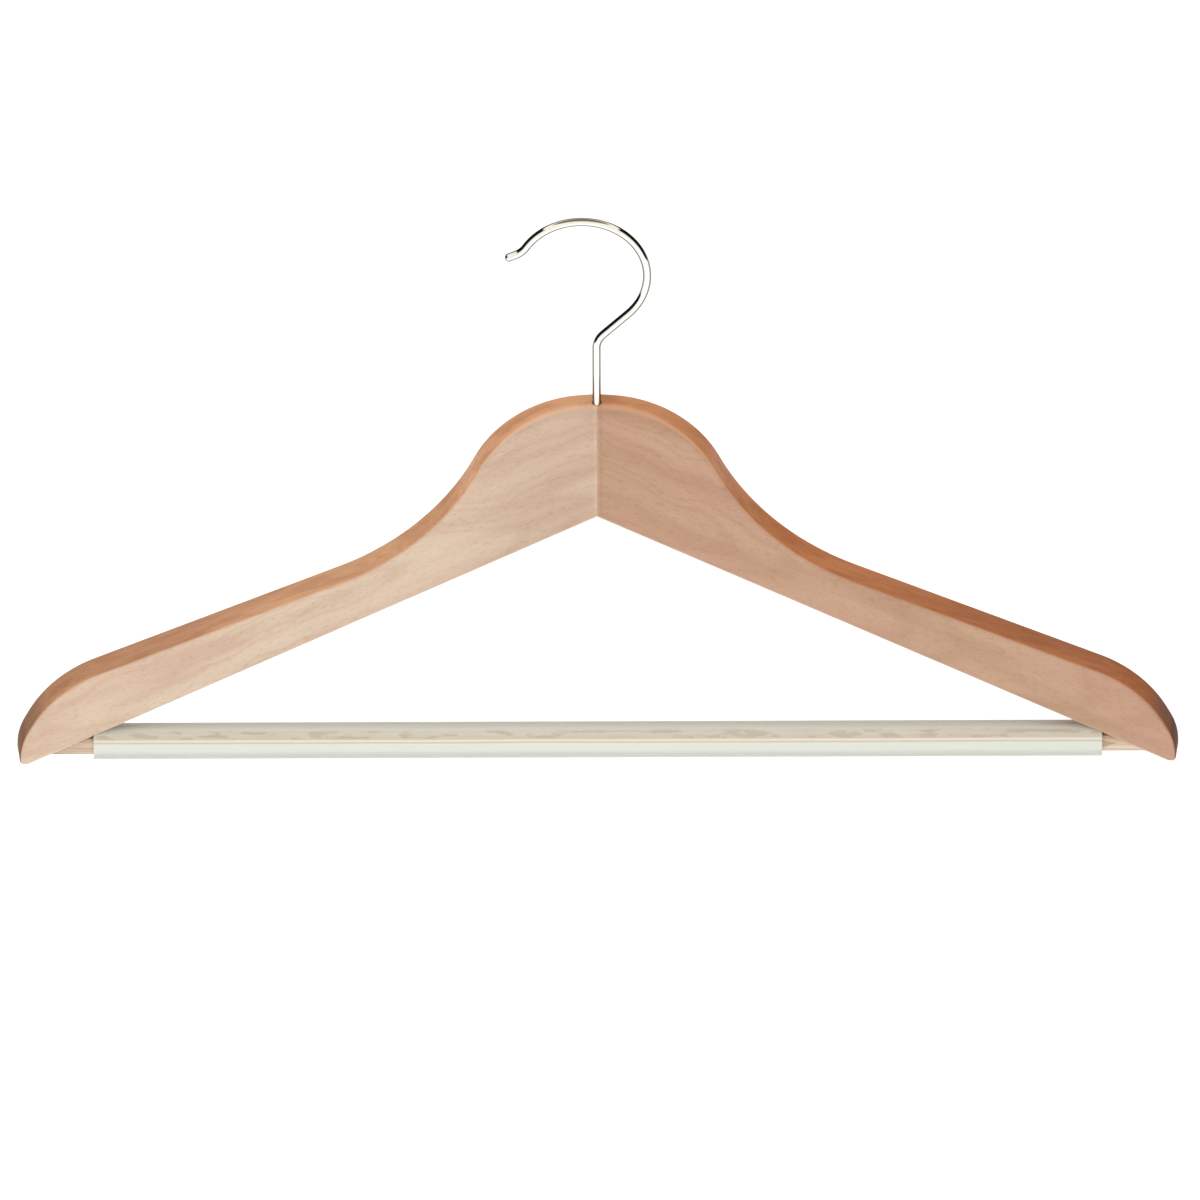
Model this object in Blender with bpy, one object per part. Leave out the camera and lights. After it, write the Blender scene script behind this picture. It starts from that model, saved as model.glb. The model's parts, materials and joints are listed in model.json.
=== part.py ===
"""Wooden clothes hanger: two mitred beech arms, a swivel wire hook and a sleeved trouser bar.

Units are metres, +Z is up, +X runs along the hanger to its right arm and -Y is the front.
The origin lies level with the lowest line of the bar's sleeve, half way along the hanger and
half way through its depth. Each piece of the real hanger is one object.
"""

import math

import bmesh
import bpy
from mathutils import Vector

MM = 0.001

# Fits between pieces
GAP = 0.3 * MM                      # between a piece and the neighbour it is set into
FACET_STEP = math.radians(7.5)      # angle that one flat facet of an arc covers
ROUND_SIDES = 32                    # facets round the bar and its sleeve

# Arms: flat boards in a shallow V, tips to the front, mitred together at the seam
ARM_THICKNESS = 12.5 * MM
ARM_SWEEP = math.radians(6.0)
ARM_REACH = 223.3 * MM              # from the seam to the tip, along one board
CROWN_HEIGHT = 149.0 * MM
SHOULDER_REACH = 33.4 * MM          # where the crown would meet the side of the neck
SHOULDER_RADIUS = 46.0 * MM
NECK_REACH = 64.0 * MM              # where the side of the neck would meet the shoulder slope
NECK_HEIGHT = 89.7 * MM
NECK_RADIUS = 96.0 * MM
BROW_REACH = 210.0 * MM             # where the shoulder slope turns down over the tip
BROW_HEIGHT = 34.4 * MM
BROW_RADIUS = 48.0 * MM
NOSE_HEIGHT = 10.0 * MM             # where that turn would meet the end of the arm
NOSE_RADIUS = 26.0 * MM
TOE_RADIUS = 1.6 * MM
HEEL_REACH = 220.4 * MM             # where the straight underside meets the flat tip
TIP_BOTTOM = 0.7 * MM
HEEL_RADIUS = 3.0 * MM
UNDERSIDE_AT_SEAM = 99.4 * MM
EDGE_ROUNDING = 1.4 * MM
EDGE_SEGMENTS = 2

# Trouser bar, its loose clear sleeve and the brads that hold its ends
BAR_RADIUS = 5.0 * MM
BAR_HALF_LENGTH = 216.0 * MM
BAR_CENTRE_REACH = 209.8 * MM       # where the bar crosses the middle of an arm's thickness
SLEEVE_OUTER_RADIUS = 7.0 * MM
SLEEVE_INNER_RADIUS = 5.6 * MM
SLEEVE_HALF_LENGTH = 193.2 * MM
SLEEVE_RIM = 0.25 * MM
SLEEVE_END_PLAY = 0.6 * MM
BRAD_REACH = 211.5 * MM
BRAD_SHANK_RADIUS = 0.8 * MM
BRAD_HEAD_RADIUS = 1.5 * MM
BRAD_HEAD_HEIGHT = 0.7 * MM
BRAD_LENGTH = 9.0 * MM
BRAD_SINK = 0.15 * MM               # how far the head lies below the back face

# Beech dowels that tie the two arms together across the mitre
DOWEL_RADIUS = 3.0 * MM
DOWEL_HALF_LENGTH = 15.0 * MM
DOWEL_CHAMFER = 0.6 * MM
DOWEL_HEIGHTS = {"joint_dowel_lower": 107.2 * MM, "joint_dowel_upper": 117.7 * MM}

# Wire hook: shank, slanting run, crook and a lip that flicks outward
WIRE_RADIUS = 1.6 * MM
CROOK_RADIUS = 25.0 * MM
CROOK_OFFSET = -5.6 * MM            # crook centre, left of the shank
CROOK_HEIGHT = 207.6 * MM
CROOK_START = math.radians(-45.0)   # where the slanting run meets the crook
CROOK_END = math.radians(148.0)     # where the crook hands over to the lip
ELBOW_RADIUS = 9.0 * MM
LIP_RADIUS = 9.0 * MM
LIP_TURN = math.radians(34.0)
LIP_STRAIGHT = 2.7 * MM
SHANK_BOTTOM = 124.2 * MM
SHANK_CHAMFER = 0.5 * MM
WIRE_SIDES = 20
DOME_STEPS = 4

# Groove round the shank and the brad that runs through it, so the hook turns but stays in
GROOVE_HEIGHT = 130.7 * MM
GROOVE_RADIUS = 1.05 * MM
GROOVE_HALF_WIDTH = 0.9 * MM
GROOVE_SLOPE = 0.3 * MM
LOCK_PIN_RADIUS = 0.6 * MM
LOCK_PIN_SIDE_GAP = 0.12 * MM
LOCK_PIN_LENGTH = 10.0 * MM
BORE_RADIUS = 1.95 * MM
BORE_MOUTH_RADIUS = 2.45 * MM
BORE_MOUTH_DEPTH = 0.6 * MM

# Worked out from the sizes above
ARM_FRONT = -ARM_REACH * math.sin(ARM_SWEEP) - ARM_THICKNESS / 2 * math.cos(ARM_SWEEP)
ARM_BACK = ARM_THICKNESS / 2 / math.cos(ARM_SWEEP)
SEAM_Y = -(ARM_FRONT + ARM_BACK) / 2
BAR_HEIGHT = SLEEVE_OUTER_RADIUS
BAR_Y = SEAM_Y - BAR_CENTRE_REACH * math.tan(ARM_SWEEP)
LOCK_PIN_X = GROOVE_RADIUS + LOCK_PIN_SIDE_GAP + LOCK_PIN_RADIUS

COLOURS = {
    "left_beech": ((0.80, 0.60, 0.42, 1.0), 0.45, 0.0),
    "right_beech": ((0.72, 0.50, 0.35, 1.0), 0.45, 0.0),
    "bar_beech": ((0.82, 0.68, 0.48, 1.0), 0.5, 0.0),
    "joint_beech": ((0.70, 0.52, 0.36, 1.0), 0.6, 0.0),
    "chrome": ((0.80, 0.81, 0.82, 1.0), 0.1, 1.0),
    "steel": ((0.62, 0.62, 0.63, 1.0), 0.35, 1.0),
    "clear_vinyl": ((0.86, 0.90, 0.85, 0.45), 0.12, 0.0),
}


def clear_scene():
    """Remove every object of the open scene."""
    for old in list(bpy.data.objects):
        bpy.data.objects.remove(old, do_unlink=True)


def make_material(name):
    """One plain Principled material of the colour table."""
    colour, roughness, metallic = COLOURS[name]
    material = bpy.data.materials.get(name) or bpy.data.materials.new(name)
    material.use_nodes = True
    shader = material.node_tree.nodes["Principled BSDF"]
    shader.inputs["Base Color"].default_value = colour
    shader.inputs["Roughness"].default_value = roughness
    shader.inputs["Metallic"].default_value = metallic
    shader.inputs["Alpha"].default_value = colour[3]
    return material


def add_object(name, bm, material=None):
    """Turn a bmesh into a smooth-shaded object of the scene."""
    bmesh.ops.recalc_face_normals(bm, faces=bm.faces)
    mesh = bpy.data.meshes.new(name)
    bm.to_mesh(mesh)
    bm.free()
    mesh.shade_smooth()
    mesh.set_sharp_from_angle(angle=math.radians(35))
    piece = bpy.data.objects.new(name, mesh)
    bpy.context.scene.collection.objects.link(piece)
    if material:
        mesh.materials.append(make_material(material))
    return piece


def cut(piece, cutter):
    """Take the cutter's shape out of a piece, and keep the cutter as a hidden guide."""
    cutter.hide_render = True
    cutter.display_type = "WIRE"
    boolean = piece.modifiers.new("cut_" + cutter.name, "BOOLEAN")
    boolean.operation = "DIFFERENCE"
    boolean.solver = "EXACT"
    boolean.object = cutter


def turned(name, profile, material=None, sides=ROUND_SIDES):
    """A round piece about its own Z axis from (height, radius) points, bottom to top."""
    bm = bmesh.new()
    rings = []
    for height, radius in profile:
        ring = []
        for side in range(sides):
            angle = 2 * math.pi * side / sides
            ring.append(bm.verts.new((radius * math.cos(angle), radius * math.sin(angle), height)))
        rings.append(ring)
    for lower, upper in zip(rings, rings[1:]):
        for side in range(sides):
            after = (side + 1) % sides
            bm.faces.new((lower[side], lower[after], upper[after], upper[side]))
    bm.faces.new(rings[0])
    bm.faces.new(rings[-1])
    return add_object(name, bm, material)


def rounded_outline(corners):
    """Points of an open outline whose corners, given as (x, z, radius), are rounded."""
    points = [Vector(corners[0][:2])]
    for before, corner, after in zip(corners, corners[1:], corners[2:]):
        here = Vector(corner[:2])
        to_before = (Vector(before[:2]) - here).normalized()
        to_after = (Vector(after[:2]) - here).normalized()
        half_angle = to_before.angle(to_after) / 2
        centre = here + (to_before + to_after).normalized() * corner[2] / math.sin(half_angle)
        start = here + to_before * corner[2] / math.tan(half_angle) - centre
        turn = math.pi - 2 * half_angle
        if to_before.cross(to_after) < 0:
            turn = -turn
        steps = max(2, round(abs(turn) / FACET_STEP))
        for step in range(steps + 1):
            angle = -turn * step / steps
            x = start.x * math.cos(angle) - start.y * math.sin(angle)
            z = start.x * math.sin(angle) + start.y * math.cos(angle)
            points.append(centre + Vector((x, z)))
    points.append(Vector(corners[-1][:2]))
    return points


def arm_outline():
    """The front view of one arm, from below the seam round the tip to the crown."""
    underside_slope = (UNDERSIDE_AT_SEAM - TIP_BOTTOM) / HEEL_REACH
    overrun = 2 * ARM_THICKNESS
    return rounded_outline([
        (-overrun, UNDERSIDE_AT_SEAM + overrun * underside_slope, 0),
        (HEEL_REACH, TIP_BOTTOM, HEEL_RADIUS),
        (ARM_REACH, TIP_BOTTOM, TOE_RADIUS),
        (ARM_REACH, NOSE_HEIGHT, NOSE_RADIUS),
        (BROW_REACH, BROW_HEIGHT, BROW_RADIUS),
        (NECK_REACH, NECK_HEIGHT, NECK_RADIUS),
        (SHOULDER_REACH, CROWN_HEIGHT, SHOULDER_RADIUS),
        (-overrun, CROWN_HEIGHT, 0),
    ])


def build_arm(name, side, material):
    """One arm; side is 1 for the right arm and -1 for the left arm."""
    bm = bmesh.new()
    front = [bm.verts.new((side * p.x, -ARM_THICKNESS / 2, p.y)) for p in arm_outline()]
    front_face = bm.faces.new(front)
    solid = bmesh.ops.extrude_face_region(bm, geom=[front_face], use_keep_orig=True)
    back = [v for v in solid["geom"] if isinstance(v, bmesh.types.BMVert)]
    bmesh.ops.translate(bm, verts=back, vec=(0, ARM_THICKNESS, 0))
    bmesh.ops.recalc_face_normals(bm, faces=bm.faces)
    rims = [e for e in bm.edges if abs(e.verts[0].co.y - e.verts[1].co.y) < GAP]
    bmesh.ops.bevel(bm, geom=rims, offset=EDGE_ROUNDING, segments=EDGE_SEGMENTS,
                    profile=0.5, affect="EDGES", clamp_overlap=True)
    mitre_normal = Vector((math.cos(ARM_SWEEP), side * math.sin(ARM_SWEEP), 0))
    everything = list(bm.verts) + list(bm.edges) + list(bm.faces)
    bmesh.ops.bisect_plane(bm, geom=everything, plane_co=mitre_normal * side * GAP / 2,
                           plane_no=mitre_normal * side, clear_inner=True)
    bmesh.ops.holes_fill(bm, edges=[e for e in bm.edges if e.is_boundary])
    arm = add_object(name, bm, material)
    arm.location = (0, SEAM_Y, 0)
    arm.rotation_euler.z = -side * ARM_SWEEP
    return arm


def along_x(piece, y, z):
    """Lay a turned piece along +X, centred on the hanger's middle."""
    piece.location = (0, y, z)
    piece.rotation_euler.y = math.pi / 2
    return piece


def build_joint_dowels(arms):
    """The two beech dowels across the mitre, with their holes in both arms."""
    profile = [(-DOWEL_HALF_LENGTH, DOWEL_RADIUS - DOWEL_CHAMFER),
               (-DOWEL_HALF_LENGTH + DOWEL_CHAMFER, DOWEL_RADIUS),
               (DOWEL_HALF_LENGTH - DOWEL_CHAMFER, DOWEL_RADIUS),
               (DOWEL_HALF_LENGTH, DOWEL_RADIUS - DOWEL_CHAMFER)]
    hole_end = DOWEL_HALF_LENGTH + GAP
    hole = [(-hole_end, DOWEL_RADIUS + GAP), (hole_end, DOWEL_RADIUS + GAP)]
    for name, height in DOWEL_HEIGHTS.items():
        along_x(turned(name, profile, "joint_beech", sides=20), SEAM_Y, height)
        cutter = along_x(turned(name + "_hole", hole, sides=20), SEAM_Y, height)
        for arm in arms:
            cut(arm, cutter)


def build_bar(arms):
    """The trouser bar, its loose sleeve and the stepped sockets in both arms."""
    profile = [(-BAR_HALF_LENGTH, BAR_RADIUS), (BAR_HALF_LENGTH, BAR_RADIUS)]
    bar = turned("trouser_bar", profile, "bar_beech")
    along_x(bar, BAR_Y, BAR_HEIGHT)
    pocket_end = SLEEVE_HALF_LENGTH + SLEEVE_END_PLAY
    pocket_radius = SLEEVE_OUTER_RADIUS + GAP
    socket_end = BAR_HALF_LENGTH + GAP
    socket_radius = BAR_RADIUS + GAP
    socket = turned("bar_socket", [(-socket_end, socket_radius), (-pocket_end, socket_radius),
                                   (-pocket_end, pocket_radius), (pocket_end, pocket_radius),
                                   (pocket_end, socket_radius), (socket_end, socket_radius)])
    along_x(socket, BAR_Y, BAR_HEIGHT)
    for arm in arms:
        cut(arm, socket)
    return bar


def build_sleeve():
    """The clear sleeve, a tube with softened rims that turns on the bar."""
    end = SLEEVE_HALF_LENGTH
    section = [(-end, SLEEVE_OUTER_RADIUS - SLEEVE_RIM), (-end + SLEEVE_RIM, SLEEVE_OUTER_RADIUS),
               (end - SLEEVE_RIM, SLEEVE_OUTER_RADIUS), (end, SLEEVE_OUTER_RADIUS - SLEEVE_RIM),
               (end, SLEEVE_INNER_RADIUS), (-end, SLEEVE_INNER_RADIUS)]
    angles = [2 * math.pi * side / ROUND_SIDES for side in range(ROUND_SIDES)]
    bm = bmesh.new()
    loops = []
    for x, radius in section:
        loops.append([bm.verts.new((x, radius * math.cos(a), radius * math.sin(a))) for a in angles])
    for this, following in zip(loops, loops[1:] + loops[:1]):
        for side in range(ROUND_SIDES):
            after = (side + 1) % ROUND_SIDES
            bm.faces.new((this[side], this[after], following[after], following[side]))
    sleeve = add_object("bar_sleeve", bm, "clear_vinyl")
    sleeve.location = (0, BAR_Y, BAR_HEIGHT)


def brad_profile(extra=0.0):
    """Head and shank of a brad, head up, head top at height 0; extra is added all round."""
    head = BRAD_HEAD_RADIUS + extra
    shank = BRAD_SHANK_RADIUS + extra
    return [(-BRAD_LENGTH - extra, shank), (-BRAD_HEAD_HEIGHT - extra, shank),
            (-BRAD_HEAD_HEIGHT - extra, head), (extra, head)]


def into_back_face(piece, side):
    """Set a brad into the back face of one arm, level with the bar and pointing to the front."""
    depth = ARM_THICKNESS / 2 - BRAD_SINK
    x = BRAD_REACH * math.cos(ARM_SWEEP) + depth * math.sin(ARM_SWEEP)
    y = SEAM_Y - BRAD_REACH * math.sin(ARM_SWEEP) + depth * math.cos(ARM_SWEEP)
    piece.location = (side * x, y, BAR_HEIGHT)
    piece.rotation_euler = (-math.pi / 2, 0, -side * ARM_SWEEP)
    return piece


def build_bar_brads(arms, bar):
    """A brad through the back of each arm into the end of the bar."""
    for name, side, arm in (("bar_pin_left", -1, arms[0]), ("bar_pin_right", 1, arms[1])):
        into_back_face(turned(name, brad_profile(), "steel", sides=16), side)
        hole = into_back_face(turned(name + "_hole", brad_profile(GAP), sides=16), side)
        cut(arm, hole)
        cut(bar, hole)


def build_hook_bore(arms):
    """The round hole down the seam that the shank turns in, with an eased mouth."""
    bottom = SHANK_BOTTOM - GAP
    mouth = CROWN_HEIGHT - BORE_MOUTH_DEPTH
    above = CROWN_HEIGHT + BORE_MOUTH_DEPTH
    flare = 2 * BORE_MOUTH_RADIUS - BORE_RADIUS
    bore = turned("hook_bore", [(bottom, BORE_RADIUS), (mouth, BORE_RADIUS), (above, flare)], sides=24)
    bore.location = (0, SEAM_Y, 0)
    for arm in arms:
        cut(arm, bore)


def build_lock_pin(arm):
    """The headless brad, driven in from the back, that runs through the shank's groove."""
    pin = [(-LOCK_PIN_LENGTH, LOCK_PIN_RADIUS), (0, LOCK_PIN_RADIUS)]
    hole = [(-LOCK_PIN_LENGTH - GAP, LOCK_PIN_RADIUS + GAP), (2 * BRAD_SINK + GAP, LOCK_PIN_RADIUS + GAP)]
    back = SEAM_Y + ARM_BACK - LOCK_PIN_X * math.tan(ARM_SWEEP) - BRAD_SINK
    for name, profile, material in (("hook_lock_pin", pin, "steel"), ("hook_lock_pin_hole", hole, None)):
        piece = turned(name, profile, material, sides=16)
        piece.location = (LOCK_PIN_X, back, GROOVE_HEIGHT)
        piece.rotation_euler.x = -math.pi / 2
        if material is None:
            cut(arm, piece)


def arc_points(centre, radius, start, end):
    """Points along an arc in the hook's plane, both ends included."""
    steps = max(2, round(abs(end - start) / FACET_STEP))
    angles = [start + (end - start) * step / steps for step in range(steps + 1)]
    return [centre + radius * Vector((math.cos(a), math.sin(a))) for a in angles]


def hook_centreline():
    """The wire's centre line in (x, z), from the top of the shank to the end of the lip."""
    crook_centre = Vector((CROOK_OFFSET, CROOK_HEIGHT))
    crook = arc_points(crook_centre, CROOK_RADIUS, CROOK_START, CROOK_END)
    slant = Vector((math.sin(CROOK_START), -math.cos(CROOK_START)))
    elbow_corner = crook[0] + slant * (crook[0].x / -slant.x)
    turn = math.atan2(-slant.x, -slant.y)
    elbow_start = elbow_corner.y - ELBOW_RADIUS * math.tan(turn / 2)
    elbow = arc_points(Vector((ELBOW_RADIUS, elbow_start)), ELBOW_RADIUS, math.pi, math.pi - turn)
    outward = Vector((math.cos(CROOK_END), math.sin(CROOK_END)))
    lip_centre = crook_centre + (CROOK_RADIUS + LIP_RADIUS) * outward
    lip_start = CROOK_END + math.pi
    lip = arc_points(lip_centre, LIP_RADIUS, lip_start, lip_start - LIP_TURN)
    lip_direction = (lip[-1] - lip[-2]).normalized()
    return elbow + crook + lip[1:] + [lip[-1] + lip_direction * LIP_STRAIGHT]


def shank_stations():
    """(height, radius) stations of the shank below the elbow, bottom end first."""
    low = GROOVE_HEIGHT - GROOVE_HALF_WIDTH
    high = GROOVE_HEIGHT + GROOVE_HALF_WIDTH
    return [(SHANK_BOTTOM, WIRE_RADIUS - SHANK_CHAMFER), (SHANK_BOTTOM + SHANK_CHAMFER, WIRE_RADIUS),
            (low - GROOVE_SLOPE, WIRE_RADIUS), (low, GROOVE_RADIUS),
            (high, GROOVE_RADIUS), (high + GROOVE_SLOPE, WIRE_RADIUS)]


def build_hook():
    """The hook: one round wire swept along its centre line, with a domed lip."""
    line = [Vector((0, height)) for height, _ in shank_stations()] + hook_centreline()
    radii = [radius for _, radius in shank_stations()]
    radii += [WIRE_RADIUS] * (len(line) - len(radii))
    last_direction = (line[-1] - line[-2]).normalized()
    dome_start = line[-1]
    for step in range(1, DOME_STEPS):
        angle = math.pi / 2 * step / DOME_STEPS
        line.append(dome_start + last_direction * WIRE_RADIUS * math.sin(angle))
        radii.append(WIRE_RADIUS * math.cos(angle))
    bm = bmesh.new()
    rings = []
    for index, (point, radius) in enumerate(zip(line, radii)):
        before = line[max(index - 1, 0)]
        after = line[min(index + 1, len(line) - 1)]
        along = (after - before).normalized()
        across = Vector((-along.y, along.x))
        ring = []
        for side in range(WIRE_SIDES):
            angle = 2 * math.pi * side / WIRE_SIDES
            place = point + across * radius * math.cos(angle)
            ring.append(bm.verts.new((place.x, radius * math.sin(angle), place.y)))
        rings.append(ring)
    for this, following in zip(rings, rings[1:]):
        for side in range(WIRE_SIDES):
            after = (side + 1) % WIRE_SIDES
            bm.faces.new((this[side], this[after], following[after], following[side]))
    bm.faces.new(rings[0])
    bm.faces.new(rings[-1])
    hook = add_object("hook", bm, "chrome")
    hook.location = (0, SEAM_Y, 0)


def build_hanger():
    """All ten pieces of the hanger."""
    clear_scene()
    arms = [build_arm("left_arm", -1, "left_beech"), build_arm("right_arm", 1, "right_beech")]
    build_joint_dowels(arms)
    bar = build_bar(arms)
    build_sleeve()
    build_bar_brads(arms, bar)
    build_hook_bore(arms)
    build_lock_pin(arms[1])
    build_hook()


build_hanger()
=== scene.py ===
"""The looks of the wooden clothes hanger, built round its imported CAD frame.

Two mitred beech arms with eased edges, a bright wire hook, a beech trouser bar inside a
clear vinyl sleeve, and small steel brads. Units are metres, +Z is up and -Y is the front.
"""

import json
import math

import bmesh
import bpy
from mathutils import Matrix, Vector


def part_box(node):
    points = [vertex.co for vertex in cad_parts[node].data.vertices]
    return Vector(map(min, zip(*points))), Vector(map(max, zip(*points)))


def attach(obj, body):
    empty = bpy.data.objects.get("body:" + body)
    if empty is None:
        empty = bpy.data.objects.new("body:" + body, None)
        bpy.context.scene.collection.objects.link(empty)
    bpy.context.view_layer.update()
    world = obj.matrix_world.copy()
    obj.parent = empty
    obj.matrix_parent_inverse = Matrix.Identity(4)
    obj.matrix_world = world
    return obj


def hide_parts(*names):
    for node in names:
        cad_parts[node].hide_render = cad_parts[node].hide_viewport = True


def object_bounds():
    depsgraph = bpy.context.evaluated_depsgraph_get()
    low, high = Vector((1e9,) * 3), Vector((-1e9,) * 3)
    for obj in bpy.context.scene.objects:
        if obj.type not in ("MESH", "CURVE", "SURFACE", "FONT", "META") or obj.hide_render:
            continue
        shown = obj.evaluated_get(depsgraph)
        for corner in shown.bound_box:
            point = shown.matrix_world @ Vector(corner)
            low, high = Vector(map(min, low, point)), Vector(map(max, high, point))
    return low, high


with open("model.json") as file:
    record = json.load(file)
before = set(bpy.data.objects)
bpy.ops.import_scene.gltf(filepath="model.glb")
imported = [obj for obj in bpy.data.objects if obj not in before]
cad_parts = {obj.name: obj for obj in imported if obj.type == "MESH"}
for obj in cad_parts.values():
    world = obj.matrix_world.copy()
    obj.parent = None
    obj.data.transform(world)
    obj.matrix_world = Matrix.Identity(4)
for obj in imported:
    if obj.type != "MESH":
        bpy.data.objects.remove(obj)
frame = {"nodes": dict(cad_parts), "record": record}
cad_low, cad_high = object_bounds()

MM = 0.001

# ---------------------------------------------------------------- sizes read from the frame


def box_centre(node):
    """The middle of a CAD node's box."""
    low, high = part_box(node)
    return (low + high) / 2


def box_size(node):
    """The side lengths of a CAD node's box."""
    low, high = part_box(node)
    return high - low


# The first mount faces square out of the back of an arm, so it gives the arms' sweep to the front
rear_mount = frame["record"]["mounts"][0]["axis"]
SWEEP = math.atan2(abs(rear_mount[0]), rear_mount[1])
SHANK_Y = box_centre("joint_dowel_lower").y

# A swept arm is furthest back at the seam and furthest out at the back of its tip
ARM_LOW, ARM_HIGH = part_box("right_arm")
THICKNESS = 2 * (ARM_HIGH.y - SHANK_Y) * math.cos(SWEEP)
REACH = (ARM_HIGH.x - THICKNESS / 2 * math.sin(SWEEP)) / math.cos(SWEEP)
CROWN = ARM_HIGH.z
TIP_BOTTOM = ARM_LOW.z
RISE = CROWN - TIP_BOTTOM

# Bar, sleeve and wire
BAR = box_centre("trouser_bar")
BAR_RADIUS = box_size("trouser_bar").z / 2
BAR_HALF = box_size("trouser_bar").x / 2
SLEEVE_RADIUS = box_size("bar_sleeve").z / 2
SLEEVE_HALF = box_size("bar_sleeve").x / 2
SLEEVE_BORE = SLEEVE_RADIUS * 0.81
WIRE_RADIUS = box_size("hook").y / 2
HOOK_LOW, HOOK_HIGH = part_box("hook")

# Outline of an arm: corners as shares of its reach and of its rise, radii as shares of its rise
HEEL_REACH = 0.987
NOSE_RISE = 0.0627
BROW_REACH = 0.9404
BROW_RISE = 0.2272
NECK_REACH = 0.2866
NECK_RISE = 0.600
SHOULDER_REACH = 0.1496
SEAM_UNDERSIDE_RISE = 0.6655
HEEL_ROUND = 0.020
TOE_ROUND = 0.0108
NOSE_ROUND = 0.1753
BROW_ROUND = 0.3237
NECK_ROUND = 0.647
SHOULDER_ROUND = 0.310

# Arcs get a point at each of these turns, and an edge sharper than this stays crisp
FINE_STEP = math.radians(2.0)
SHARP_ANGLE = math.radians(30)

# How far the arms' edges are eased, and where one easing fades into the next
BACK_EDGE_ROUND = 1.2 * MM
FRONT_EDGE_ROUND = 1.8 * MM
TOE_EDGE_ROUND = 1.15 * MM
CROWN_EDGE_ROUND = 7.5 * MM
CROWN_EDGE_START = 9 * MM
CROWN_EDGE_END = 51 * MM
CROWN_EDGE_RISE = 0.83
TOE_EDGE_RISE = 0.02
ARM_EDGE_RISE = 0.12
EDGE_STEPS = 8
EDGE_MARGIN = 0.2 * MM

# Joints: the brads of the bar, half the mitre's gap, and the clearances of holes and pockets
BRAD_LENGTH = 9.0 * MM
BRAD_SHANK_RADIUS = 0.8 * MM
BRAD_HEAD_HEIGHT = 0.7 * MM
SEAM_GAP = 0.004 * MM
FIT = 0.08 * MM
HOLE_SIDES = 48
BRAD_SIDES = 32
CUTTER_OVERRUN = 2 * MM
BORE_FIT = 0.12 * MM
BORE_CHAMFER = 0.5 * MM
BORE_CHAMFER_HALF = 0.4 * MM
POCKET_FIT = 3 * FIT
POCKET_PLAY = 0.5 * MM

# Hook: the radii and turns that its box doesn't give
CROOK_RADIUS = 25 * MM
CROOK_START = math.radians(-45)
CROOK_END = math.radians(148)
ELBOW_RADIUS = 9 * MM
LIP_RADIUS = 9 * MM
LIP_TURN = math.radians(34)
LIP_STRAIGHT = 2.7 * MM
GROOVE_DEPTH = 0.55 * MM
GROOVE_HALF = 0.9 * MM
GROOVE_SLOPE = 0.3 * MM
SHANK_BEVEL = 0.3
DOME_STEPS = 8
WIRE_SIDES = 40

# Bar and sleeve: how their ends are eased
BAR_EASE = 0.5 * MM
BAR_SIDES = 72
RIM_ROUND = 0.35 * MM
RIM_STEPS = 3
SLEEVE_SIDES = 96

# The grain runs down each arm at this angle
GRAIN_SLOPE = math.radians(22)

# Camera and floor; the picture's width and the height of its aim are shares of the hanger's
VIEW_ELEVATION = math.radians(35)
VIEW_ROLL = math.radians(0.2)
VIEW_DISTANCE = 20.0
VIEW_WIDTH = 1.0315
VIEW_AIM_HEIGHT = 0.277
VIEW_SHIFT = 1.0 * MM
FLOOR_DROP = 0.30
FLOOR_HALF = 1.8


# ---------------------------------------------------------------- mesh helpers


def new_piece(name, bm, material):
    """Turn a bmesh into a smooth-shaded piece with one material."""
    bmesh.ops.recalc_face_normals(bm, faces=bm.faces)
    mesh = bpy.data.meshes.new(name)
    bm.to_mesh(mesh)
    bm.free()
    mesh.shade_smooth()
    mesh.set_sharp_from_angle(angle=SHARP_ANGLE)
    piece = bpy.data.objects.new(name, mesh)
    bpy.context.scene.collection.objects.link(piece)
    if material:
        mesh.materials.append(material)
    return piece


def join_rings(bm, rings):
    """Skin each ring of vertices to the next one."""
    count = len(rings[0])
    for this, following in zip(rings, rings[1:]):
        for index in range(count):
            after = (index + 1) % count
            bm.faces.new((this[index], this[after], following[after], following[index]))


def close_rings(bm, rings):
    """Skin rings of vertices into a closed body with flat ends."""
    join_rings(bm, rings)
    bm.faces.new(rings[0])
    bm.faces.new(rings[-1])


def turned_mesh(profile, sides, placing):
    """A bmesh turned about its own Z axis from (height, radius) points, then placed by a matrix."""
    bm = bmesh.new()
    rings = []
    for height, radius in profile:
        ring = []
        for side in range(sides):
            angle = 2 * math.pi * side / sides
            place = Vector((radius * math.cos(angle), radius * math.sin(angle), height))
            ring.append(bm.verts.new(placing @ place))
        rings.append(ring)
    close_rings(bm, rings)
    return bm


def lying_along_x(centre):
    """Places a shape turned about Z so that it lies along X, round a centre."""
    return Matrix.Translation(centre) @ Matrix.Rotation(math.pi / 2, 4, "Y")


def carve(piece, cutters):
    """Cut shapes out of a piece and apply the cuts."""
    for cutter in cutters:
        boolean = piece.modifiers.new(cutter.name, "BOOLEAN")
        boolean.operation = "DIFFERENCE"
        boolean.solver = "EXACT"
        boolean.object = cutter
    graph = bpy.context.evaluated_depsgraph_get()
    carved = bpy.data.meshes.new_from_object(piece.evaluated_get(graph))
    piece.modifiers.clear()
    piece.data = carved
    carved.shade_smooth()
    carved.set_sharp_from_angle(angle=SHARP_ANGLE)


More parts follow.
